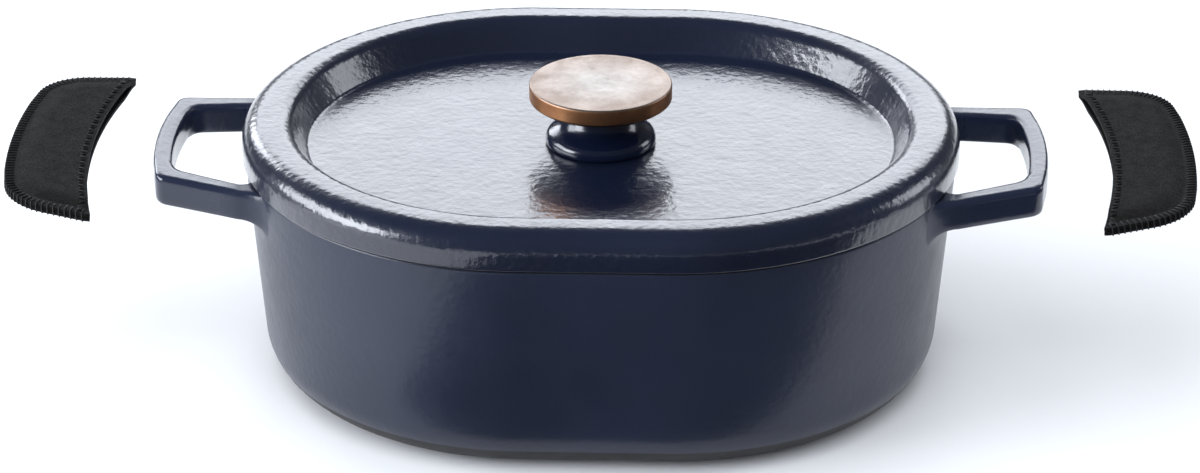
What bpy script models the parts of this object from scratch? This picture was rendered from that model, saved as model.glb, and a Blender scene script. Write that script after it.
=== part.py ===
"""Oval cast iron dutch oven with a lid, a bronze-topped knob and two slip-on leather handle covers.

Frame: metres, +Z up, +X along the handles, origin at the middle of the pot's base. The covers are
modelled pulled off sideways, lying nearly flat. They slide towards the pot onto the handles, and their
two leather panels part as a handle enters.
"""

import math

import bmesh
import bpy
import numpy as np

MM = 0.001
GAP = 0.3 * MM                      # air left between pieces that touch

# Oval shared by the pot and the lid: two half circles joined by straight sides
HALF_STRAIGHT = 30.8 * MM
END_SEGMENTS = 18

# Pot casting
POT_HEIGHT = 98.8 * MM
POT_RADIUS = 123.0 * MM             # end radius at the rim
POT_BASE_RADIUS = POT_RADIUS - 8.0 * MM     # end radius where the side would meet the base
POT_END = HALF_STRAIGHT + POT_RADIUS
POT_WALL = 4.0 * MM
POT_FLOOR = 4.5 * MM
POT_BASE_FILLET = 21.0 * MM
FOOT_RECESS = 1.0 * MM              # hollow of the base inside its flat bearing rim
FOOT_RIM = 12.0 * MM

# Loop handles, cast with the pot
HANDLE_REACH = POT_END + 39.2 * MM  # crest of the outer bar
HANDLE_CORNER_X = HANDLE_REACH - 4.8 * MM
HANDLE_CORNER_Y = 42.1 * MM
HANDLE_ROOT_X = POT_END + 6.2 * MM  # where the arm begins to flare into the pot
HANDLE_ROOT_Y = 48.3 * MM
HANDLE_FLARE = 7.0 * MM
HANDLE_BAR = 8.5 * MM
HANDLE_ARM = 9.6 * MM
HANDLE_THICKNESS = 13.7 * MM
HANDLE_SLOPE = math.radians(5.5)
HANDLE_TOP_AT_CORNER = POT_HEIGHT + 3.2 * MM
HANDLE_OUTER_CORNER = 6.0 * MM
HANDLE_INNER_CORNER = 8.0 * MM
HANDLE_EDGE = 1.8 * MM

# Lid casting
LID_OVERHANG = 1.2 * MM             # past the pot's rim, all round
LID_CREST = 16.5 * MM               # height of the rim above the seam
LID_SHOULDER = 10.0 * MM            # rounding of the rim's outer edge
LID_CREST_INSET = 20.2 * MM         # where the flat rim turns down to the panel
LID_CREST_ROUND = 7.0 * MM
LID_PANEL_INSET = 28.2 * MM
LID_PANEL_ROUND = 2.2 * MM
LID_PANEL_HEIGHT = 2.8 * MM
LID_WALL = 4.0 * MM
LID_LOCATOR_DEPTH = 4.0 * MM
LID_LOCATOR_WIDTH = 4.0 * MM
LID_LOCATOR_CLEARANCE = 1.0 * MM
LID_RADIUS = POT_RADIUS + LID_OVERHANG
SEAM = POT_HEIGHT + GAP
PANEL_TOP = SEAM + LID_PANEL_HEIGHT

# Knob
DISC_RADIUS = 30.8 * MM
DISC_THICKNESS = 8.0 * MM
DISC_EDGE = 0.8 * MM
DISC_UNDERSIDE = 19.6 * MM          # above the lid's panel
FOOT_RADIUS = 24.6 * MM             # stem's cushion foot, widest just above the panel
FOOT_HEIGHT = 3.2 * MM
FOOT_ROUND = 4.0 * MM
NECK_RADIUS = 15.2 * MM
NECK_BASE = 10.2 * MM
NECK_ROUND = 8.0 * MM
NECK_FLARE = 1.5 * MM
SCREW_RADIUS = 3.0 * MM
SCREW_HEAD_RADIUS = 6.2 * MM
SCREW_HEAD_HEIGHT = 3.6 * MM
SCREW_ENGAGEMENT = 5.2 * MM
HOLE_RADIUS = SCREW_RADIUS + GAP
WASHER_RADIUS = 8.5 * MM
WASHER_THICKNESS = 1.2 * MM
LOCK_WASHER_RADIUS = 6.0 * MM
LOCK_WASHER_THICKNESS = 1.5 * MM
LOCK_WASHER_SPLIT = math.radians(14)
SEAL_RADIUS = 8.0 * MM
SEAL_THICKNESS = 1.2 * MM
TURNED_SEGMENTS = 32

# Leather covers
COVER_TRAVEL = 48.0 * MM            # from on the handle to pulled off
COVER_MARGIN = 14.5 * MM            # from the handle's outer bar to the cover's outer edge, when on
COVER_DEPTH = 35.0 * MM             # outer edge to mouth, at the middle
COVER_MOUTH_HALF = 71.0 * MM
COVER_MOUTH_BOW = 8.6 * MM
COVER_END_HALF = 63.0 * MM
COVER_END_BOW = 6.5 * MM
COVER_CORNER = 26.0 * MM
LEATHER = 1.6 * MM
COVER_SEAM_WIDTH = 5.0 * MM
COVER_SLOPE_WIDTH = 9.4 * MM
POCKET_HEIGHT = 3.6 * MM            # inside, when the cover lies empty
COVER_AXIS_SLOPE = math.radians(2.75)
COVER_ALONG = 32                    # grid steps along the seam
COVER_ACROSS = 9
THREAD = 0.7 * MM
MOUTH_THREAD_INSET = 2.5 * MM
MOUTH_THREAD_WIDTH = 2.2 * MM
MOUTH_THREAD_HALF = 50.0 * MM

POCKET_HALF = POCKET_HEIGHT / 2

# Where the middle of the mouth stands with the cover on, and how far the handle climbs in the pocket
MOUTH_ON = HANDLE_REACH + COVER_MARGIN - COVER_DEPTH
POCKET_DRIFT = (HANDLE_REACH - MOUTH_ON) * (math.tan(HANDLE_SLOPE) - math.tan(COVER_AXIS_SLOPE))


def clear_scene():
    for obj in list(bpy.data.objects):
        bpy.data.objects.remove(obj, do_unlink=True)


def material(name, colour, metallic, roughness):
    made = bpy.data.materials.new(name)
    made.use_nodes = True
    made.diffuse_color = (*colour, 1)
    shader = made.node_tree.nodes["Principled BSDF"]
    shader.inputs["Base Color"].default_value = (*colour, 1)
    shader.inputs["Metallic"].default_value = metallic
    shader.inputs["Roughness"].default_value = roughness
    return made


def add_object(name, mesh, finish=None):
    obj = bpy.data.objects.new(name, mesh)
    bpy.context.scene.collection.objects.link(obj)
    if finish:
        mesh.materials.append(finish)
    return obj


def finished_mesh(name, bm, sharp_degrees=35):
    bmesh.ops.recalc_face_normals(bm, faces=bm.faces)
    mesh = bpy.data.meshes.new(name)
    bm.to_mesh(mesh)
    bm.free()
    mesh.shade_smooth()
    mesh.set_sharp_from_angle(angle=math.radians(sharp_degrees))
    return mesh


def fillet(centre_r, centre_z, radius, start_deg, end_deg, steps):
    """Points of an arc in a (radius, height) profile."""
    angles = np.radians(np.linspace(start_deg, end_deg, steps + 1))
    return [(centre_r + radius * math.cos(a), centre_z + radius * math.sin(a)) for a in angles]


def oval(radius, half_straight):
    """One ring round the oval, as (x, y) pairs, anticlockwise."""
    turn = np.linspace(-math.pi / 2, math.pi / 2, END_SEGMENTS + 1)
    right = [(half_straight + radius * math.cos(a), radius * math.sin(a)) for a in turn]
    left = [(-x, -y) for x, y in right]
    return right + left


def lofted(name, rings, closed):
    """Skins rings of equal length. Closed joins the last ring to the first; otherwise both are capped."""
    bm = bmesh.new()
    made = [[bm.verts.new(point) for point in ring] for ring in rings]
    pairs = list(zip(made, made[1:]))
    if closed:
        pairs.append((made[-1], made[0]))
    else:
        bm.faces.new(made[0])
        bm.faces.new(made[-1])
    count = len(made[0])
    for low, high in pairs:
        for i in range(count):
            j = (i + 1) % count
            bm.faces.new((low[i], low[j], high[j], high[i]))
    return finished_mesh(name, bm)


def oval_rings(profile):
    """Rings of (radius, height) pairs, each swept round the shared oval."""
    return [[(x, y, z) for x, y in oval(radius, HALF_STRAIGHT)] for radius, z in profile]


def turned(name, profile, finish, height, sweep=2 * math.pi):
    """A closed (radius, height) profile turned about the knob's axis."""
    bm = bmesh.new()
    verts = [bm.verts.new((radius, 0, z)) for radius, z in profile]
    edges = [bm.edges.new((a, b)) for a, b in zip(verts, verts[1:] + verts[:1])]
    full = sweep >= 2 * math.pi
    if not full:
        bm.faces.new(verts)
    bmesh.ops.spin(
        bm,
        geom=edges + list(bm.faces),
        cent=(0, 0, 0),
        axis=(0, 0, 1),
        angle=sweep,
        steps=TURNED_SEGMENTS,
        use_merge=full,
    )
    bmesh.ops.remove_doubles(bm, verts=bm.verts, dist=0.001 * MM)
    obj = add_object(name, finished_mesh(name, bm), finish)
    obj.location.z = height
    return obj


def rounded(corners):
    """An outline whose (x, y, radius) corners are rounded; a zero radius keeps the point."""
    points = []
    for i, (x, y, radius) in enumerate(corners):
        here = np.array((x, y))
        if radius == 0:
            points.append(here)
            continue
        before = np.array(corners[i - 1][:2]) - here
        after = np.array(corners[(i + 1) % len(corners)][:2]) - here
        before /= np.linalg.norm(before)
        after /= np.linalg.norm(after)
        half = math.acos(float(np.clip(before @ after, -1, 1))) / 2
        reach = radius / math.tan(half)
        middle = here + (before + after) / np.linalg.norm(before + after) * radius / math.sin(half)
        start, end = here + before * reach - middle, here + after * reach - middle
        turn = math.atan2(start[0] * end[1] - start[1] * end[0], start @ end)
        for step in np.linspace(0, turn, 7):
            cos, sin = math.cos(step), math.sin(step)
            points.append(middle + (cos * start[0] - sin * start[1], sin * start[0] + cos * start[1]))
    return points


def pot_radius_at(z):
    return POT_BASE_RADIUS + (POT_RADIUS - POT_BASE_RADIUS) * z / POT_HEIGHT


def handle_middle_height(x):
    """Height of the handle's middle plane, which climbs away from the pot."""
    at_corner = HANDLE_TOP_AT_CORNER - HANDLE_THICKNESS / 2
    return at_corner + (x - HANDLE_CORNER_X) * math.tan(HANDLE_SLOPE)


def buried_x(y):
    """Middle of the pot's wall at this y, where an arm's root ends."""
    radius = pot_radius_at(handle_middle_height(POT_END)) - POT_WALL / 2
    return HALF_STRAIGHT + math.sqrt(radius**2 - y**2)


def handle_outline():
    """Plan of one loop handle: a U whose arms end inside the pot's wall."""
    bow = HANDLE_REACH - HANDLE_CORNER_X
    inner_y = HANDLE_CORNER_Y - HANDLE_ARM
    inner_x = HANDLE_CORNER_X - HANDLE_BAR
    root_y = HANDLE_ROOT_Y - HANDLE_ARM
    flare_out, flare_in = HANDLE_ROOT_Y + HANDLE_FLARE, root_y - HANDLE_FLARE
    bar = [y * HANDLE_CORNER_Y for y in (-0.6, -0.3, 0, 0.3, 0.6)]
    outer = [(HANDLE_CORNER_X + bow * (1 - (y / HANDLE_CORNER_Y) ** 2), y, 0) for y in bar]
    inner = [(inner_x + bow * (1 - (y / HANDLE_CORNER_Y) ** 2), y, 0) for y in reversed(bar)]
    root = [
        (HANDLE_ROOT_X, HANDLE_ROOT_Y, 14 * MM),
        (buried_x(HANDLE_ROOT_Y) + 6 * MM, HANDLE_ROOT_Y + 2.4 * MM, 0),
        (buried_x(flare_out), flare_out, 0),
        (buried_x(flare_in), flare_in, 0),
        (buried_x(root_y) + 6 * MM, root_y - 1.8 * MM, 0),
        (HANDLE_ROOT_X, root_y - 0.2 * MM, 14 * MM),
    ]
    corner_out = (HANDLE_CORNER_X, HANDLE_CORNER_Y, HANDLE_OUTER_CORNER)
    corner_in = (inner_x, inner_y, HANDLE_INNER_CORNER)
    far = [(x, -y, r) for x, y, r in reversed(root)]
    near_in = (inner_x, -inner_y, HANDLE_INNER_CORNER)
    near_out = (HANDLE_CORNER_X, -HANDLE_CORNER_Y, HANDLE_OUTER_CORNER)
    return rounded([near_out, *outer, corner_out, *root, corner_in, *inner, near_in, *far])


def handle(name, side):
    """The solid of one loop handle, a tool for the pot's union."""
    bm = bmesh.new()
    top = []
    for x, y in handle_outline():
        z = handle_middle_height(x) + HANDLE_THICKNESS / 2
        top.append(bm.verts.new((side * x, y, z)))
    face = bm.faces.new(top)
    made = bmesh.ops.extrude_face_region(bm, geom=[face])
    lower = [v for v in made["geom"] if isinstance(v, bmesh.types.BMVert)]
    bmesh.ops.translate(bm, verts=lower, vec=(0, 0, -HANDLE_THICKNESS))
    obj = add_object(name, finished_mesh(name, bm))
    bevel = obj.modifiers.new("edge", "BEVEL")
    bevel.width = HANDLE_EDGE
    bevel.segments = 2
    bevel.limit_method = "ANGLE"
    bevel.angle_limit = math.radians(50)
    obj.hide_render = True
    obj.display_type = "WIRE"
    return obj


def pot(finish):
    draft = (POT_RADIUS - POT_BASE_RADIUS) / POT_HEIGHT
    fillet_in = POT_BASE_FILLET - POT_WALL
    base_r = pot_radius_at(POT_BASE_FILLET) - POT_BASE_FILLET
    inner_r = pot_radius_at(POT_FLOOR + fillet_in) - POT_WALL - fillet_in
    edge = 1.2 * MM
    profile = [
        (base_r - FOOT_RIM - FOOT_RECESS, FOOT_RECESS),
        (base_r - FOOT_RIM, 0),
        *fillet(base_r, POT_BASE_FILLET, POT_BASE_FILLET, -90, 0, 7),
        (POT_RADIUS - draft * edge, POT_HEIGHT - edge),
        (POT_RADIUS - edge, POT_HEIGHT),
        (POT_RADIUS - POT_WALL + edge, POT_HEIGHT),
        (POT_RADIUS - POT_WALL - draft * edge, POT_HEIGHT - edge),
        *fillet(inner_r, POT_FLOOR + fillet_in, fillet_in, 0, -90, 6),
    ]
    body = add_object("pot_body", lofted("pot_body", oval_rings(profile), closed=False), finish)
    for name, side in (("left_handle_tool", -1), ("right_handle_tool", 1)):
        union = body.modifiers.new(name, "BOOLEAN")
        union.operation = "UNION"
        union.object = handle(name, side)
    return body


def lid(finish):
    """Lid with its origin at the seam, so that it lifts off along its own Z."""
    crest_r = LID_RADIUS - LID_CREST_INSET
    panel_r = LID_RADIUS - LID_PANEL_INSET
    lean = math.hypot(crest_r - panel_r, LID_CREST - LID_PANEL_HEIGHT)
    over = LID_WALL * (LID_CREST - LID_PANEL_HEIGHT) / lean
    down = LID_WALL * (crest_r - panel_r) / lean
    locator = POT_RADIUS - POT_WALL - LID_LOCATOR_CLEARANCE
    inside = locator - LID_LOCATOR_WIDTH
    under = LID_PANEL_HEIGHT - LID_WALL
    edge = 0.8 * MM
    outside = [
        (LID_RADIUS - edge, 0, 0),
        (LID_RADIUS, edge, 0),
        (LID_RADIUS, LID_CREST, LID_SHOULDER),
        (crest_r, LID_CREST, LID_CREST_ROUND),
        (panel_r, LID_PANEL_HEIGHT, LID_PANEL_ROUND),
        (HOLE_RADIUS, LID_PANEL_HEIGHT, 0),
    ]
    below = [
        (HOLE_RADIUS, under, 0),
        (panel_r + over, LID_PANEL_HEIGHT - down, LID_WALL),
        (crest_r + over, LID_CREST - LID_WALL, LID_PANEL_ROUND),
        (inside - edge, LID_CREST - LID_WALL, LID_PANEL_ROUND),
        (inside, -LID_LOCATOR_DEPTH, 0),
        (locator - edge, -LID_LOCATOR_DEPTH, 0),
        (locator, edge - LID_LOCATOR_DEPTH, 0),
        (locator, 0, 0),
    ]
    rings = oval_rings(rounded(outside)[:-1])
    rings.append([(x, y, LID_PANEL_HEIGHT) for x, y in oval(HOLE_RADIUS, 0)])
    rings.append([(x, y, under) for x, y in oval(HOLE_RADIUS, 0)])
    rings.extend(oval_rings(rounded(below)[1:]))
    obj = add_object("lid", lofted("lid", rings, closed=True), finish)
    weld(obj.data)
    obj.location.z = SEAM
    return obj


def weld(mesh):
    """Merges the points that meet where a ring has no straight sides."""
    bm = bmesh.new()
    bm.from_mesh(mesh)
    bmesh.ops.remove_doubles(bm, verts=bm.verts, dist=0.001 * MM)
    bm.to_mesh(mesh)
    bm.free()
    mesh.shade_smooth()
    mesh.set_sharp_from_angle(angle=math.radians(35))


def flat_ring(radius, low, high):
    """Profile of a ring of square section round the screw."""
    return [(HOLE_RADIUS, low), (radius, low), (radius, high), (HOLE_RADIUS, high)]


def knob(enamel, bronze, steel, fibre):
    """Every piece of the knob, from the disc down to the screw head under the lid."""
    stem_top = DISC_UNDERSIDE - GAP
    seat = GAP + SEAL_THICKNESS + GAP
    stem = [
        (SEAL_RADIUS + GAP, GAP, 0),
        (FOOT_RADIUS, GAP, 0.8 * MM),
        (FOOT_RADIUS, FOOT_HEIGHT, FOOT_ROUND),
        (NECK_RADIUS, NECK_BASE, NECK_ROUND),
        (NECK_RADIUS, stem_top - NECK_FLARE, 0),
        (NECK_RADIUS + NECK_FLARE, stem_top, 0),
        (HOLE_RADIUS, stem_top, 0),
        (HOLE_RADIUS, seat, 0),
        (SEAL_RADIUS + GAP, seat, 0),
    ]
    disc_top = DISC_UNDERSIDE + DISC_THICKNESS
    blind = DISC_UNDERSIDE + SCREW_ENGAGEMENT + GAP
    disc = [
        (HOLE_RADIUS, DISC_UNDERSIDE),
        (DISC_RADIUS - DISC_EDGE, DISC_UNDERSIDE),
        (DISC_RADIUS, DISC_UNDERSIDE + DISC_EDGE),
        (DISC_RADIUS, disc_top - DISC_EDGE),
        (DISC_RADIUS - DISC_EDGE, disc_top),
        (0, disc_top),
        (0, blind),
        (HOLE_RADIUS, blind),
    ]
    washer_top = -LID_WALL - GAP
    washer_low = washer_top - WASHER_THICKNESS
    lock_top = washer_low - GAP
    lock_low = lock_top - LOCK_WASHER_THICKNESS
    head_top = lock_low - GAP
    screw = [
        (0, head_top - SCREW_HEAD_HEIGHT),
        (SCREW_HEAD_RADIUS - 1.6 * MM, head_top - SCREW_HEAD_HEIGHT),
        (SCREW_HEAD_RADIUS - 0.4 * MM, head_top - SCREW_HEAD_HEIGHT * 0.6),
        (SCREW_HEAD_RADIUS, head_top - SCREW_HEAD_HEIGHT * 0.2),
        (SCREW_HEAD_RADIUS, head_top),
        (SCREW_RADIUS, head_top),
        (SCREW_RADIUS, DISC_UNDERSIDE + SCREW_ENGAGEMENT - 0.6 * MM),
        (SCREW_RADIUS - 0.6 * MM, DISC_UNDERSIDE + SCREW_ENGAGEMENT),
        (0, DISC_UNDERSIDE + SCREW_ENGAGEMENT),
    ]
    turned("knob_stem", rounded(stem), enamel, PANEL_TOP)
    turned("knob_disc", disc, bronze, PANEL_TOP)
    turned("knob_seal", flat_ring(SEAL_RADIUS, GAP, seat - GAP), fibre, PANEL_TOP)
    turned("knob_washer", flat_ring(WASHER_RADIUS, washer_low, washer_top), steel, PANEL_TOP)
    lock = flat_ring(LOCK_WASHER_RADIUS, lock_low, lock_top)
    turned("knob_lock_washer", lock, steel, PANEL_TOP, 2 * math.pi - LOCK_WASHER_SPLIT)
    turned("knob_screw", screw, steel, PANEL_TOP)


def resampled(points, count):
    """The same open path with this many points, evenly spaced along its length."""
    points = np.array(points)
    along = np.concatenate([[0], np.cumsum(np.linalg.norm(np.diff(points, axis=0), axis=1))])
    wanted = np.linspace(0, along[-1], count)
    return np.stack([np.interp(wanted, along, points[:, i]) for i in range(2)], axis=1)


def cover_edges():
    """Mouth and seam of a cover in plan, as paths from its -y tip to its +y tip.

    x is measured outwards from the middle of the mouth."""
    tip_x = -COVER_MOUTH_BOW
    ys = np.linspace(-1, 1, 41)
    mouth = [(tip_x * y**2, COVER_MOUTH_HALF * y) for y in ys]
    end = COVER_DEPTH
    corner_x = end - COVER_END_BOW
    bow_ys = np.linspace(-0.55, 0.55, 9)
    bar = [(end - COVER_END_BOW * y**2, COVER_END_HALF * y, 0) for y in bow_ys]
    outline = rounded(
        [
            (tip_x, -COVER_MOUTH_HALF, 0),
            (corner_x, -COVER_END_HALF, COVER_CORNER),
            *bar,
            (corner_x, COVER_END_HALF, COVER_CORNER),
            (tip_x, COVER_MOUTH_HALF, 0),
        ]
    )
    return resampled(mouth, COVER_ALONG + 1), resampled(outline, COVER_ALONG + 1)


def distance_to_path(points, path):
    """Shortest distance from each point to a path of straight runs."""
    start, run = path[:-1], np.diff(path, axis=0)
    share = np.einsum("pij,ij->pi", points[:, None] - start, run) / (run**2).sum(axis=1)
    nearest = start + np.clip(share, 0, 1)[..., None] * run
    return np.linalg.norm(points[:, None] - nearest, axis=2).min(axis=1)


def pocket_rise(distance):
    """Height of the leather's inner face above the seam plane, by distance from the seam's edge."""
    share = np.clip((distance - COVER_SEAM_WIDTH) / COVER_SLOPE_WIDTH, 0, 1)
    return GAP / 2 + (POCKET_HALF - GAP / 2) * np.sin(share * math.pi / 2)


def cover_grid():
    """Plan points from the seam (first) to the mouth (last), one row per step along the cover.

    Rows are close together where the leather rises, then spread out to the mouth."""
    mouth, seam = cover_edges()
    run = mouth - seam
    length = np.maximum(np.linalg.norm(run, axis=1, keepdims=True), 1e-9)
    even = np.arange(COVER_ACROSS + 1) / COVER_ACROSS
    rise = COVER_SEAM_WIDTH + COVER_SLOPE_WIDTH * np.linspace(0, 1, COVER_ACROSS - 3)
    close = np.concatenate([[0], rise])
    share = np.ones((len(seam), COVER_ACROSS + 1))
    share[:, : len(close)] = close / length
    share = np.minimum(share, even)
    return seam[:, None] + share[..., None] * run[:, None], seam


def cover_panel(name, parent, direction, finish):
    """One leather panel: flat where it is sewn, then rising to the pocket's full height."""
    grid, seam = cover_grid()
    flat = grid.reshape(-1, 2)
    rise = pocket_rise(distance_to_path(flat, seam)) * direction
    bm = bmesh.new()
    verts = [bm.verts.new((x, y, z)) for (x, y), z in zip(flat, rise)]
    width = COVER_ACROSS + 1
    for i in range(COVER_ALONG):
        for j in range(COVER_ACROSS):
            a, b = i * width + j, (i + 1) * width + j
            corners = [verts[k] for k in (a, b, b + 1, a + 1)]
            bm.faces.new(corners if direction > 0 else corners[::-1])
    bmesh.ops.remove_doubles(bm, verts=bm.verts, dist=0.01 * MM)
    up = sum((face.normal.z for face in bm.faces if not face.normal_update()), 0.0)
    if up * direction < 0:
        bmesh.ops.reverse_faces(bm, faces=bm.faces)
    mesh = bpy.data.meshes.new(name)
    bm.to_mesh(mesh)
    bm.free()
    mesh.shade_smooth()
    obj = add_object(name, mesh, finish)
    obj.parent = parent
    shell = obj.modifiers.new("leather", "SOLIDIFY")
    shell.thickness = LEATHER
    shell.offset = 1
    return obj


def swept(name, parent, path, across, section, finish):
    """A closed section of (across, up) pairs carried along a path; across holds the unit normals in plan."""
    rings = [
        [(*(point[:2] + normal * s), point[2] + z) for s, z in section]
        for point, normal in zip(path, across)
    ]
    obj = add_object(name, lofted(name, rings, closed=False), finish)
    obj.parent = parent
    return obj


def plan_normals(path):
    run = np.gradient(path[:, :2], axis=0)
    run /= np.linalg.norm(run, axis=1)[:, None]
    return np.stack([run[:, 1], -run[:, 0]], axis=1)


def edge_thread(name, parent, finish):
    """The whip stitching as one band round the outside of the sewn edge, from tip to tip."""
    _, seam = cover_edges()
    half = GAP / 2 + LEATHER
    section = [(GAP, -half), (GAP + THREAD, -half), (GAP + THREAD, half), (GAP, half)]
    path = np.column_stack([seam, np.zeros(len(seam))])
    return swept(name, parent, path, plan_normals(path), section, finish)


def mouth_thread(name, parent, direction, finish):
    """The zigzag row beside the mouth as one flat strip on the leather."""
    ys = np.linspace(-1, 1, 15)
    half = MOUTH_THREAD_HALF / COVER_MOUTH_HALF
    xs = MOUTH_THREAD_INSET - COVER_MOUTH_BOW * (ys * half) ** 2
    height = POCKET_HALF + LEATHER + GAP
    path = np.column_stack([xs, ys * MOUTH_THREAD_HALF, np.full(len(ys), direction * height)])
    side = MOUTH_THREAD_WIDTH / 2
    section = [(-side, 0), (side, 0), (side, direction * THREAD), (-side, direction * THREAD)]
    return swept(name, parent, path, plan_normals(path), section, finish)


def cover(side_name, side, leather, thread):
    """One slip-on cover, pulled off the handle. Its empty is turned to face the pot."""
    empty = bpy.data.objects.new(side_name + "_cover_frame", None)
    bpy.context.scene.collection.objects.link(empty)
    height_on = handle_middle_height(MOUTH_ON) + POCKET_DRIFT / 2
    empty.location = (
        side * (MOUTH_ON + COVER_TRAVEL),
        0,
        height_on + COVER_TRAVEL * math.tan(COVER_AXIS_SLOPE),
    )
    empty.rotation_euler = (0, -HANDLE_SLOPE, 0 if side > 0 else math.pi)
    prefix = side_name + "_cover_"
    cover_panel(prefix + "top_panel", empty, 1, leather)
    cover_panel(prefix + "bottom_panel", empty, -1, leather)
    edge_thread(prefix + "edge_thread", empty, thread)
    mouth_thread(prefix + "mouth_thread_top", empty, 1, thread)
    mouth_thread(prefix + "mouth_thread_bottom", empty, -1, thread)


def main():
    clear_scene()
    enamel = material("navy_enamel", (0.020, 0.027, 0.050), 0.0, 0.30)
    bronze = material("satin_bronze", (0.62, 0.40, 0.28), 1.0, 0.34)
    steel = material("stainless_steel", (0.60, 0.60, 0.60), 1.0, 0.30)
    fibre = material("fibre_seal", (0.05, 0.05, 0.05), 0.0, 0.70)
    leather = material("black_leather", (0.010, 0.010, 0.011), 0.0, 0.55)
    thread = material("black_thread", (0.015, 0.015, 0.016), 0.0, 0.80)
    pot(enamel)
    lid(enamel)
    knob(enamel, bronze, steel, fibre)
    cover("left", -1, leather, thread)
    cover("right", 1, leather, thread)


main()
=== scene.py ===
"""Looks of an oval enamelled cast iron dutch oven: pot, lid, bronze knob and leather handle covers.

Everything is in metres, +Z up, +X along the handles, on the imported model's frame. Each sub-assembly is
a class that holds its sizes, computes its surfaces with numpy and dresses them.
"""

from __future__ import annotations

import logging
import math
from dataclasses import dataclass
from enum import Enum

import bmesh
import bpy
import numpy as np
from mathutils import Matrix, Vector

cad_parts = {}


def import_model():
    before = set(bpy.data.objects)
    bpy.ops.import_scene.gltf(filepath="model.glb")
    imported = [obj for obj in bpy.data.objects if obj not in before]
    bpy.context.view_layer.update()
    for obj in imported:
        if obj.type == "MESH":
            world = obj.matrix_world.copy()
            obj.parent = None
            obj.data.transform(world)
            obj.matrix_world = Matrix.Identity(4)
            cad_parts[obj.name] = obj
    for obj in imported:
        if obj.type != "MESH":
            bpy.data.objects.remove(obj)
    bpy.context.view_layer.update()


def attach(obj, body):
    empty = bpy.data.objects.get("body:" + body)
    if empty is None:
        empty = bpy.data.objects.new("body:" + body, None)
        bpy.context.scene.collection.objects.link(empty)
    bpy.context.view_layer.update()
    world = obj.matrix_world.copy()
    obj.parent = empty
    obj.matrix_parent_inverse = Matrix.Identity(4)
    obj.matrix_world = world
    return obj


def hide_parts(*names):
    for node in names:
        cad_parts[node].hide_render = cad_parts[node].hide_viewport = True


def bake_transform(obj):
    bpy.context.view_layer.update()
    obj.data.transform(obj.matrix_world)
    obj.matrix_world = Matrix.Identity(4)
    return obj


LOG = logging.getLogger("dutch_oven")
MM = 0.001

Array = np.ndarray
Triple = tuple[float, float, float]
Material, Mesh, Object = bpy.types.Material, bpy.types.Mesh, bpy.types.Object


# ---------------------------------------------------------------- shader expressions


class Wire:
    """A shader socket that takes part in Python arithmetic: each operator adds a Math node."""

    def __init__(self, graph: "Graph", socket: bpy.types.NodeSocket) -> None:
        """Wraps one output socket of a graph."""
        self.graph = graph
        self.socket = socket

    def _math(self, operation: str, *values: "Wire | float") -> "Wire":
        """Adds one Math node on these values, in order."""
        return self.graph.node("ShaderNodeMath", {"operation": operation}, dict(enumerate(values)))

    def __add__(self, other: "Wire | float") -> "Wire":
        """Sum."""
        return self._math("ADD", self, other)

    def __rsub__(self, other: float) -> "Wire":
        """Difference from a number, as in 1 - mask."""
        return self._math("SUBTRACT", other, self)

    def __mul__(self, other: "Wire | float") -> "Wire":
        """Product."""
        return self._math("MULTIPLY", self, other)

    def __abs__(self) -> "Wire":
        """Absolute value."""
        return self._math("ABSOLUTE", self)

    __radd__ = __add__
    __rmul__ = __mul__


Value = Wire | float | tuple[float, ...]


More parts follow.
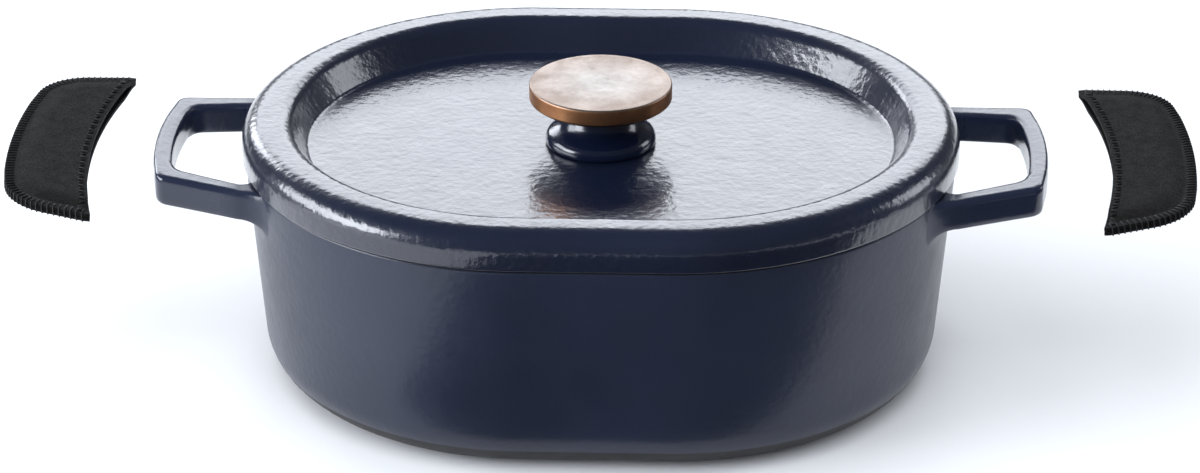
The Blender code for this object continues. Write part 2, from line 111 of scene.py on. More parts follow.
class Graph:
    """A material's node tree, with one method that makes every kind of node."""

    def __init__(self, name: str) -> None:
        """Starts an empty material of this name."""
        self.material = bpy.data.materials.new(name)
        self.material.use_nodes = True
        self.tree = self.material.node_tree
        self.tree.nodes.clear()

    def node(self, kind: str, settings: dict | None = None, inputs: dict | None = None,
             out: int | str | None = 0) -> Wire | None:
        """Adds a node.

        Args:
            kind: Blender's node type.
            settings: attributes, set first.
            inputs: values or wires by socket name or number.
            out: the output to return, or None for a node without one.

        Returns:
            The chosen output as a wire.
        """
        made = self.tree.nodes.new(kind)
        for key, value in (settings or {}).items():
            setattr(made, key, value)
        for key, value in (inputs or {}).items():
            socket = made.inputs[key]
            if isinstance(value, Wire):
                self.tree.links.new(value.socket, socket)
            else:
                socket.default_value = value
        return None if out is None else Wire(self, made.outputs[out])

    def place(self) -> Wire:
        """Object coordinates."""
        return self.node("ShaderNodeTexCoord", out="Object")

    def axis(self, which: str) -> Wire:
        """One object coordinate, in metres."""
        return self.node("ShaderNodeSeparateXYZ", inputs={0: self.place()}, out=which)

    def noise(self, scale: float, detail: float = 3.0, rough: float = 0.55,
              vector: Wire | None = None) -> Wire:
        """Noise on object coordinates, with scale in features per metre."""
        inputs = {"Vector": vector or self.place(), "Scale": scale, "Detail": detail, "Roughness": rough}
        return self.node("ShaderNodeTexNoise", inputs=inputs)

    def stretched(self, *factors: float) -> Wire:
        """Object coordinates, each multiplied by its factor."""
        inputs = {0: self.place(), 1: factors}
        return self.node("ShaderNodeVectorMath", {"operation": "MULTIPLY"}, inputs)

    def cells(self, scale: float) -> Wire:
        """Distance to the edge of Voronoi cells, with scale in cells per metre."""
        return self.node("ShaderNodeTexVoronoi", {"feature": "DISTANCE_TO_EDGE"},
                         {"Vector": self.place(), "Scale": scale}, out="Distance")

    def remap(self, value: Wire, low: float, high: float, to_low: float = 0.0,
              to_high: float = 1.0) -> Wire:
        """Linear, clamped change of range."""
        return self.node("ShaderNodeMapRange", {"clamp": True},
                         {0: value, 1: low, 2: high, 3: to_low, 4: to_high})

    def mix(self, share: Value, first: Value, second: Value) -> Wire:
        """Colour mix by a share from 0 to 1."""
        def solid(value: Value) -> Value:
            return value if isinstance(value, Wire) else (*value, 1.0)
        return self.node("ShaderNodeMix", {"data_type": "RGBA"},
                         {0: share, 6: solid(first), 7: solid(second)}, out=2)

    def bump(self, height: Wire, distance: float, strength: float = 1.0) -> Wire:
        """Bump of a height field, with distance in metres."""
        inputs = {"Height": height, "Distance": distance, "Strength": strength}
        return self.node("ShaderNodeBump", inputs=inputs)

    def finish(self, **inputs: Value) -> Material:
        """Closes the graph with a Principled shader, whose sockets are named with _ for a space."""
        named = {key.replace("_", " "): value for key, value in inputs.items()}
        shader = self.node("ShaderNodeBsdfPrincipled", inputs=named)
        self.node("ShaderNodeOutputMaterial", inputs={"Surface": shader}, out=None)
        return self.material


# ---------------------------------------------------------------- finishes


@dataclass(frozen=True)
class Enamel:
    """Glass enamel on cast iron: dark pigment under a clear glaze that carries an orange-peel ripple.

    The base layer's gloss is hazy and the coat's is sharp, so that a reflection has a soft halo.
    The ripple is three noises: peel, a broad one and a fine one. gloss_from is the distance from the
    middle plane where a satin casting turns glossy, as its handles are.
    """

    name: str
    colour: Triple = (0.0050, 0.0075, 0.0190)
    roughness: float = 0.30
    level: float = 0.5
    coat: float = 1.0
    coat_roughness: float = 0.14
    ripple: float = 0.42 * MM
    ripple_scale: float = 320.0
    gloss_from: float | None = None
    gloss_fade: float = 9 * MM
    gloss_coat: float = 0.6
    gloss_share: float = 0.35

    def material(self) -> Material:
        """Builds the node tree."""
        graph = Graph(self.name)
        drift = graph.noise(14.0, 2.0)
        lighter = tuple(1.3 * c for c in self.colour)
        colour = graph.mix(graph.remap(drift, 0.35, 0.7), self.colour, lighter)
        peel = graph.noise(self.ripple_scale, 2.0, 0.45)
        broad = graph.noise(self.ripple_scale * 0.4, 1.0, 0.5)
        fine = graph.noise(self.ripple_scale * 4.5, 2.0, 0.5)
        height = peel * 0.60 + broad * 0.34 + fine * 0.06
        rough = graph.remap(graph.noise(60.0, 3.0), 0.3, 0.75, self.roughness * 0.9,
                            self.roughness * 1.15)
        bump = graph.bump(height, self.ripple)
        coat: Value = self.coat
        if self.gloss_from:
            full = self.gloss_from + self.gloss_fade
            handle = graph.remap(abs(graph.axis("X")), self.gloss_from, full)
            coat = handle * (self.gloss_coat - self.coat) + self.coat
            rough = rough * (1 - handle * self.gloss_share)
        return graph.finish(
            Base_Color=colour,
            Roughness=rough,
            Specular_IOR_Level=self.level,
            Coat_Weight=coat,
            Coat_Roughness=self.coat_roughness,
            Coat_IOR=1.5,
            Normal=bump,
            Coat_Normal=bump,
        )


@dataclass(frozen=True)
class Bronze:
    """Cast and brushed copper-bronze: mottled patina, fine sanding marks, and painted shade that darkens
    the underside and the foot of the side.
    """

    name: str = "satin_bronze"
    middle: Triple = (0.475, 0.445, 0.415)
    rim: Triple = (0.42, 0.335, 0.285)
    side: Triple = (0.56, 0.27, 0.125)
    # painted shade: colour of the underside and the foot of the side, made dark because they face down,
    # out of the light
    under: Triple = (0.10, 0.055, 0.035)
    fleck: Triple = (0.27, 0.205, 0.175)
    tarnish: Triple = (0.36, 0.165, 0.08)
    roughness: float = 0.42

    def material(self, low: float, high: float, radius: float) -> Material:
        """Builds the node tree.

        Args:
            low: height of the disc's underside.
            high: height of its top, where the metal is palest, most of all in the middle.
            radius: the disc's radius.
        """
        graph = Graph(self.name)
        height = graph.axis("Z")
        reach = graph.node("ShaderNodeVectorMath", {"operation": "LENGTH"},
                           {0: graph.stretched(1.0, 1.0, 0.0)}, out="Value")
        on_top = graph.remap(height, high - 0.9 * MM, high - 0.1 * MM)
        # painted shade under the disc: 1 on the underside, fading to 0 by 1.4 mm up the side
        below = graph.remap(height, low + 0.2 * MM, low + 1.4 * MM, 1.0, 0.0)
        blotch = graph.remap(graph.noise(75.0, 5.0, 0.62), 0.35, 0.68)
        speck = graph.remap(graph.noise(420.0, 4.0, 0.7), 0.42, 0.66)
        outward = graph.remap(reach + blotch * (0.3 * radius), 0.3 * radius, 1.15 * radius)
        top = graph.mix(outward, self.middle, self.rim)
        top = graph.mix(speck * 0.28, top, self.fleck)
        side = graph.mix(blotch, self.side, self.tarnish)
        # painted shade: the underside and the foot of the side take the dark under colour
        side = graph.mix(below, side, self.under)
        lines = graph.noise(1.0, 3.0, vector=graph.stretched(90.0, 90.0, 5200.0))
        grain = lines * 0.5 + graph.noise(1500.0, 3.0) * 0.5
        return graph.finish(
            Base_Color=graph.mix(on_top, side, top),
            Metallic=1.0,
            Roughness=graph.remap(blotch + grain, 0.3, 1.6, self.roughness * 0.85, self.roughness * 1.2),
            Normal=graph.bump(grain, 0.03 * MM, 0.6),
        )


@dataclass(frozen=True)
class Leather:
    """Black leather: pebbled grain of cells, soft creases, and a slightly polished high side."""

    name: str = "black_leather"
    colour: Triple = (0.0037, 0.0035, 0.0033)
    worn: Triple = (0.0100, 0.0096, 0.0092)
    roughness: float = 0.58

    def material(self) -> Material:
        """Builds the node tree."""
        graph = Graph(self.name)
        warp = graph.noise(260.0, 2.0)
        pebble = graph.remap(graph.cells(950.0), 0.0, 0.30)
        crease = graph.remap(graph.noise(180.0, 5.0, 0.6), 0.35, 0.65)
        height = pebble * 0.55 + crease * 0.35 + warp * 0.25
        colour = graph.mix(pebble * graph.remap(warp, 0.3, 0.7, 0.3, 1.0), self.colour, self.worn)
        return graph.finish(
            Base_Color=colour,
            Roughness=graph.remap(height, 0.2, 1.0, self.roughness * 1.2, self.roughness * 0.85),
            Specular_IOR_Level=0.06,
            Normal=graph.bump(height, 0.14 * MM, 0.9),
        )


@dataclass(frozen=True)
class Speckled:
    """A finish whose tone, gloss and relief all follow one fine noise: thread, turned steel, fibre."""

    name: str
    scale: float
    detail: float
    tones: tuple[Triple, Triple]
    gloss: tuple[float, float]
    relief: float
    strength: float
    spread: tuple[float, float] = (0.3, 0.7)
    metallic: float = 0.0

    def material(self) -> Material:
        """Builds the node tree."""
        graph = Graph(self.name)
        speck = graph.noise(self.scale, self.detail)
        return graph.finish(
            Base_Color=graph.mix(graph.remap(speck, *self.spread), *self.tones),
            Metallic=self.metallic,
            Roughness=graph.remap(speck, 0.3, 0.7, *self.gloss),
            Normal=graph.bump(speck, self.relief, self.strength),
        )


THREAD = Speckled("black_thread", 2600.0, 2.0, ((0.0045, 0.0045, 0.0050), (0.012, 0.012, 0.013)),
                  (0.5, 0.72), 0.10 * MM, 0.7)
STEEL = Speckled("stainless_steel", 900.0, 4.0, ((0.56, 0.56, 0.57), (0.48, 0.48, 0.49)),
                 (0.24, 0.40), 0.02 * MM, 0.5, metallic=1.0)
SEAL = Speckled("seal", 1400.0, 4.0, ((0.03, 0.03, 0.03), (0.07, 0.07, 0.07)),
                (0.6, 0.85), 0.04 * MM, 0.6, spread=(0.0, 1.0))


# ---------------------------------------------------------------- surfaces


class Ends(Enum):
    """How the first and last rows of a grid are closed."""

    JOINED = "joined"
    FLAT = "flat"


def rounded(corners: list[Triple], arc_steps: int = 8, wrap: bool = False) -> Array:
    """An open or closed path through corners, each turned by an arc of its own radius.

    Args:
        corners: (x, y, radius) of each corner; a zero radius keeps the point.
        arc_steps: straight pieces in each arc.
        wrap: whether the path closes on itself.

    Returns:
        The path as an (n, 2) array. An arc starts and ends where the circle touches both straights.
    """
    spots = np.array([c[:2] for c in corners], float)
    count = len(corners)
    path: list[Array] = []
    for i, (_, _, radius) in enumerate(corners):
        if radius == 0 or (not wrap and i in (0, count - 1)):
            path.append(spots[i][None])
            continue
        before = spots[i - 1] - spots[i]
        after = spots[(i + 1) % count] - spots[i]
        before, after = before / np.linalg.norm(before), after / np.linalg.norm(after)
        half = math.acos(float(np.clip(before @ after, -1, 1))) / 2
        centre = spots[i] + (before + after) / np.linalg.norm(before + after) * radius / math.sin(half)
        start = spots[i] + before * radius / math.tan(half) - centre
        end = spots[i] + after * radius / math.tan(half) - centre
        turn = math.atan2(start[0] * end[1] - start[1] * end[0], float(start @ end))
        angle = np.linspace(0, turn, arc_steps + 1)[:, None]
        path.append(centre + np.cos(angle) * start + np.sin(angle) * np.array((-start[1], start[0])))
    return np.concatenate(path)


def spaced(path: Array, step: float) -> Array:
    """The path with points added so that no straight piece is longer than step."""
    parts = [path[:1]]
    for a, b in zip(path, path[1:]):
        pieces = max(1, math.ceil(float(np.linalg.norm(b - a)) / step))
        share = np.arange(1, pieces + 1)[:, None] / pieces
        parts.append(a + share * (b - a))
    return np.concatenate(parts)


def resampled(path: Array, count: int) -> Array:
    """The same open path as count points, evenly spaced along its length."""
    along = np.concatenate([[0], np.cumsum(np.linalg.norm(np.diff(path, axis=0), axis=1))])
    wanted = np.linspace(0, along[-1], count)
    return np.stack([np.interp(wanted, along, column) for column in path.T], axis=1)


def unit(vectors: Array) -> Array:
    """Vectors at length 1, along the last axis."""
    return vectors / np.maximum(np.linalg.norm(vectors, axis=-1, keepdims=True), 1e-12)


def grid_faces(rows: int, columns: int, wrap_rows: bool, wrap_columns: bool) -> Array:
    """Quads between neighbouring points of a rows x columns grid, as point numbers."""
    i = np.arange(rows if wrap_rows else rows - 1)
    j = np.arange(columns if wrap_columns else columns - 1)
    a, b = np.meshgrid(i, j, indexing="ij")
    c, d = (a + 1) % rows, (b + 1) % columns
    quads = np.stack([a * columns + b, a * columns + d, c * columns + d, c * columns + b], -1)
    return quads.reshape(-1, 4)


def linked(name: str, data: bpy.types.ID) -> Object:
    """A new object of this mesh, light or camera, in the scene."""
    obj = bpy.data.objects.new(name, data)
    bpy.context.scene.collection.objects.link(obj)
    return obj


def make_mesh(name: str, points: Array, faces: list, smooth_degrees: float = 40.0) -> Object:
    """A closed piece from points and faces: doubles merged, faces turned outwards, shaded smooth.

    Args:
        name: the piece's name.
        points: (n, 3) points in metres.
        faces: tuples of point numbers.
        smooth_degrees: edges sharper than this stay crisp.

    Returns:
        The object, at the origin, with its place in its mesh.
    """
    mesh = bpy.data.meshes.new(name)
    mesh.from_pydata(points.tolist(), [], faces)
    bm = bmesh.new()
    bm.from_mesh(mesh)
    bmesh.ops.remove_doubles(bm, verts=bm.verts, dist=0.002 * MM)
    bmesh.ops.dissolve_degenerate(bm, edges=bm.edges, dist=0.001 * MM)
    bmesh.ops.recalc_face_normals(bm, faces=bm.faces)
    bm.to_mesh(mesh)
    bm.free()
    mesh.shade_smooth()
    mesh.set_sharp_from_angle(angle=math.radians(smooth_degrees))
    return linked(name, mesh)


def closed_grid(name: str, points: Array, ends: Ends, smooth_degrees: float = 40.0) -> Object:
    """A closed piece whose columns run round it.

    Args:
        name: the piece's name.
        points: (rows, columns, 3) grid.
        ends: JOINED links the last row to the first; FLAT caps both with one face each.
        smooth_degrees: edges sharper than this stay crisp.
    """
    rows, columns = points.shape[:2]
    faces = [tuple(f) for f in grid_faces(rows, columns, ends is Ends.JOINED, True).tolist()]
    if ends is Ends.FLAT:
        faces.append(tuple(range(columns)))
        faces.append(tuple(range((rows - 1) * columns, rows * columns))[::-1])
    return make_mesh(name, points.reshape(-1, 3), faces, smooth_degrees)


def turned(name: str, profile: Array, around: int, ends: Ends = Ends.JOINED,
           smooth_degrees: float = 40.0) -> Object:
    """A (radius, height) profile turned about Z: x = r cos t, y = r sin t."""
    angle = np.linspace(0, 2 * math.pi, around, endpoint=False)
    radius, height = profile[:, :1], profile[:, 1:]
    grid = np.stack([radius * np.cos(angle), radius * np.sin(angle), height + 0 * angle], -1)
    return closed_grid(name, grid, ends, smooth_degrees)


def applied(obj: Object) -> None:
    """Works an object's modifiers into its mesh."""
    graph = bpy.context.evaluated_depsgraph_get()
    final = bpy.data.meshes.new_from_object(obj.evaluated_get(graph))
    obj.modifiers.clear()
    obj.data = final


def combined(obj: Object, tool: Object, operation: str) -> None:
    """Unites an object with a tool, or cuts the tool out of it, and removes the tool."""
    change = obj.modifiers.new("combined", "BOOLEAN")
    change.operation = operation
    change.object = tool
    applied(obj)
    bpy.data.objects.remove(tool, do_unlink=True)


def dressed(obj: Object, material: Material, slot: str, body: str,
            *nodes: str) -> Object:
    """Gives a piece its material, makes it ride on a body and stand for CAD nodes."""
    obj.data.materials.clear()
    obj.data.materials.append(material)
    if body:
        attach(obj, body)
    if nodes:
        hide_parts(*nodes)
    faces = len(obj.data.polygons)
    LOG.info("%s: %d faces, for %s", obj.name, faces, ", ".join(nodes) or "no node")
    return obj


@dataclass
class Oval:
    """Plan shared by pot and lid: two half circles joined by straight sides.

    A point is x = shift + r cos t, y = r sin t. Round the ends t turns and shift stays; along the
    sides t stays and shift runs from one end to the other.
    """

    half_straight: float = 30.8 * MM
    end_steps: int = 104
    side_steps: int = 22

    def __post_init__(self) -> None:
        """Works out shift and angle for every column."""
        turn = np.linspace(-math.pi / 2, math.pi / 2, self.end_steps + 1)
        run = np.linspace(1, -1, self.side_steps + 1)[1:-1] * self.half_straight
        self.shift = np.concatenate([
            np.full(len(turn), self.half_straight), run,
            np.full(len(turn), -self.half_straight), -run,
        ])
        self.angle = np.concatenate([
            turn, np.full(len(run), math.pi / 2), turn + math.pi, np.full(len(run), 1.5 * math.pi),
        ])

    def carry(self, profile: Array) -> Array:
        """A (radius, height) profile carried round the oval, as a (rows, columns, 3) grid."""
        radius, height = profile[:, :1], profile[:, 1:]
        share = np.minimum(radius / (10 * MM), 1.0)
        x = self.shift * share + radius * np.cos(self.angle)
        y = radius * np.sin(self.angle)
        return np.stack([x, y, height + 0 * self.angle], -1)


# ---------------------------------------------------------------- pot


@dataclass
class Pot:
    """The pot casting: tapered oval body with both loop handles grown out of its wall."""

    oval: Oval
    height: float = 98.8 * MM
    rim_radius: float = 123.0 * MM
    base_radius: float = 115.0 * MM
    wall: float = 4.0 * MM
    floor: float = 4.5 * MM
    base_fillet: float = 21.0 * MM
    foot_rim: float = 12.0 * MM
    foot_recess: float = 1.0 * MM
    reach: float = 193.0 * MM
    corner: tuple[float, float] = (188.2 * MM, 42.1 * MM)
    root_y: float = 50.0 * MM
    bar: float = 8.5 * MM
    arm: float = 9.6 * MM
    thickness: float = 13.7 * MM
    slope: float = math.radians(5.5)
    top_at_corner: float = 102.0 * MM
    edge: float = 2.4 * MM
    rim_round: float = 1.4 * MM
    outer_corner: float = 6.0 * MM
    inner_corner: float = 8.0 * MM
    root_fillet: float = 8.0 * MM
    root_sink: float = 0.35 * MM
    buried: float = 0.5 * MM

    def wall_radius(self, z: Array) -> Array:
        """Outside end radius of the tapered wall at a height."""
        return self.base_radius + (self.rim_radius - self.base_radius) * z / self.height

    def profile(self) -> Array:
        """Section of the casting: middle of its base, round the rim, to the middle of its floor."""
        foot = self.wall_radius(self.base_fillet) - self.base_fillet
        draft = (self.rim_radius - self.base_radius) / self.height
        inner_foot = self.base_radius - self.wall + draft * self.floor
        corners = [
            (0, self.foot_recess, 0),
            (foot - self.foot_rim - 2 * MM, self.foot_recess, 1 * MM),
            (foot - self.foot_rim, 0, 1 * MM),
            (self.base_radius, 0, self.base_fillet),
            (self.rim_radius, self.height, self.rim_round),
            (self.rim_radius - self.wall, self.height, self.rim_round),
            (inner_foot, self.floor, self.base_fillet - self.wall),
            (0, self.floor, 0),
        ]
        return spaced(rounded(corners, 14), 5 * MM)

    def middle_height(self, x: Array) -> Array:
        """Height of a handle's middle plane, which climbs away from the pot."""
        return self.top_at_corner - self.thickness / 2 + (x - self.corner[0]) * math.tan(self.slope)

    def _side_chain(self, inset_bar: float, inset_arm: float, radius: float) -> Array:
        """Half of a handle's inner or outer plan edge, from the root to the middle of the bar.

        The arm runs straight, an arc turns the corner, and the bar bows out as a parabola.
        """
        x, y = self.corner[0] - inset_bar, self.corner[1] - inset_arm
        bow = self.reach - self.corner[0]
        start = (self.root_x(), self.root_y - inset_arm, 0)
        share = np.linspace(0.62, 0, 14)
        bar = np.stack([x + bow * (1 - share**2), share * self.corner[1]], 1)
        bend = rounded([start, (x, y, radius), (*bar[0], 0)], 14)
        arm = resampled(bend[:2], 12)
        return np.concatenate([arm, bend[2:-1], bar])

    def root_x(self) -> float:
        """Where an arm stops being straight and spreads into the wall."""
        middle = self.root_y - self.arm / 2
        radius = float(self.wall_radius(np.array(self.middle_height(self.corner[0]))))
        return self.oval.half_straight + math.sqrt(radius**2 - middle**2) + self.root_fillet

    def handle_grid(self, side: int) -> Array:
        """One loop handle as a (rows, columns, 3) grid, buried in the wall at both ends.

        Each row is a rounded rectangle between the inner and outer edges. In the root rows the
        rectangle grows as a quarter circle while its distance from the wall falls to nothing, so
        that it meets the wall in a fillet; upwards it stays below the pot's rim.
        """
        outer = self._side_chain(0, 0, self.outer_corner)
        inner = self._side_chain(self.bar, self.arm, self.inner_corner)
        outer = np.concatenate([outer, outer[-2::-1] * (1, -1)])
        inner = np.concatenate([inner, inner[-2::-1] * (1, -1)])
        middle = (outer + inner) / 2
        half = np.linalg.norm(outer - inner, axis=1)[:, None] / 2
        across, up = self._rounded_box(half)
        direction = unit(outer - inner)
        xy = middle[:, None] + across[..., None] * direction[:, None]
        z = self.middle_height(xy[..., 0]) + up
        body = np.concatenate([xy, z[..., None]], -1)
        first = self._root_rows(body[0], middle[0])
        last = self._root_rows(body[-1], middle[-1])
        grid = np.concatenate([first[::-1], body, last])
        return grid * (side, 1, 1)

    def _rounded_box(self, half: Array, count: int = 44, straight: float = 2.2) -> tuple[Array, Array]:
        """Outlines of rounded rectangles, one for each half width, all as thick as the handle.

        The cosine and sine of an even turn, stretched and cut off at 1, give the place on the
        straights; where one isn't cut off, the point is on a straight and is pushed out from it only.
        """
        angle = np.linspace(0, 2 * math.pi, count, endpoint=False)
        turn = np.stack([np.cos(angle), np.sin(angle)])
        share = np.clip(turn * straight, -1, 1)
        push = np.where(np.abs(share) < 1, 0.0, turn)
        push = push / np.maximum(np.hypot(*push), 1e-9)
        across = (half - self.edge) * share[0] + self.edge * push[0]
        up = (self.thickness / 2 - self.edge) * share[1] + self.edge * push[1]
        return across, np.broadcast_to(up, across.shape)

    def _root_rows(self, ring: Array, middle: Array, steps: int = 9) -> Array:
        """Rows that spread a ring into the wall.

        The ring's offset from its middle grows by f (1 - cos a) and its distance from the wall
        falls as f (1 - sin a), with a from 0 to a right angle and f the fillet's radius. The ring also
        sinks a little, and its last row is buried in the wall.
        """
        centre = np.array((middle[0], middle[1], float(self.middle_height(middle[0]))))
        away = unit((ring - centre)[:, 1:])
        away[:, 1] = np.minimum(away[:, 1], 0)
        angle = np.linspace(0, math.pi / 2, steps + 1)[1:, None]
        spread = self.root_fillet * (1 - np.cos(angle))
        y = ring[:, 1] + spread * away[:, 0]
        sunk = ring[:, 2] - self.root_sink * np.sin(angle) + spread * away[:, 1]
        z = np.minimum(sunk, self.height - 0.5 * MM)
        radius = self.wall_radius(z)
        on_wall = self.oval.half_straight + np.sqrt(radius**2 - y**2)
        gap = ring[:, 0] - on_wall[0]
        last = np.arange(1, steps + 1)[:, None] == steps
        x = on_wall + gap * (1 - np.sin(angle)) - self.buried * last
        return np.stack([x, y, z], -1)

    def build(self, outside: Material, inside: Material) -> None:
        """Makes the casting as one mesh and paints its inner faces with the second material."""
        shell = closed_grid("pot_casting", self.oval.carry(self.profile()), Ends.FLAT, 50)
        for side in (-1, 1):
            loop = closed_grid("loop_handle", self.handle_grid(side), Ends.FLAT, 50)
            combined(shell, loop, "UNION")
        shell.data.shade_smooth()
        shell.data.set_sharp_from_angle(angle=math.radians(50))
        dressed(shell, outside, "navy_enamel", "pot", "pot_body")
        shell.data.materials.append(inside)
        self._paint_inside(shell.data)

    def _paint_inside(self, mesh: Mesh) -> None:
        """Second material inside the wall's middle surface, above the floor, and on the rim."""
        centres = np.empty(len(mesh.polygons) * 3)
        mesh.polygons.foreach_get("center", centres)
        x, y, z = centres.reshape(-1, 3).T
        reach = np.hypot(np.maximum(np.abs(x) - self.oval.half_straight, 0), y)
        limit = self.wall_radius(z) - self.wall / 2
        on_rim = (z > self.height - 0.6 * MM) & (reach < limit + 3 * MM)
        inside = (reach < limit) & (z > self.floor * 0.9) | on_rim
        inside &= np.abs(x) < self.oval.half_straight + self.rim_radius - 0.4 * MM
        mesh.polygons.foreach_set("material_index", inside.astype(np.int32))


# ---------------------------------------------------------------- lid and knob


@dataclass
class Lid:
    """The lid casting: skirt, broad flat-topped rim, recessed panel, locating ring underneath."""

    oval: Oval
    seam: float = 99.1 * MM
    radius: float = 124.2 * MM
    crest: float = 16.5 * MM
    crest_inset: float = 20.2 * MM
    crest_round: float = 7.0 * MM
    shoulder: float = 10.0 * MM
    panel: float = 2.8 * MM
    panel_inset: float = 28.2 * MM
    panel_round: float = 2.2 * MM
    wall: float = 4.0 * MM
    locator_radius: float = 118.0 * MM
    locator_depth: float = 4.0 * MM
    locator_width: float = 4.0 * MM
    hole: float = 3.3 * MM

    def profile(self) -> Array:
        """Closed section from the screw hole, out over the rim, back under to the hole."""
        crest_r, panel_r = self.radius - self.crest_inset, self.radius - self.panel_inset
        lean = math.hypot(crest_r - panel_r, self.crest - self.panel)
        over = self.wall * (self.crest - self.panel) / lean
        down = self.wall * (crest_r - panel_r) / lean
        under = self.panel - self.wall
        ring = self.locator_radius
        inside = ring - self.locator_width
        corners = [
            (self.hole, self.panel, 0),
            (panel_r, self.panel, self.panel_round),
            (crest_r, self.crest, self.crest_round),
            (self.radius, self.crest, self.shoulder),
            (self.radius, 0, 1.2 * MM),
            (ring, 0, 0.5 * MM),
            (ring, -self.locator_depth, 1.0 * MM),
            (inside, -self.locator_depth, 1.0 * MM),
            (inside - 0.8 * MM, self.crest - self.wall, 3.0 * MM),
            (crest_r + over, self.crest - self.wall, 2.5 * MM),
            (panel_r + over, self.panel - down, 4.0 * MM),
            (self.hole, under, 0),
        ]
        return spaced(rounded(corners, 14), 5 * MM) + (0, self.seam)

    def build(self, enamel: Material) -> None:
        """Makes the lid, closed through its hole."""
        casting = closed_grid("lid_casting", self.oval.carry(self.profile()), Ends.JOINED, 50)
        dressed(casting, enamel, "navy_enamel", "lid", "lid")


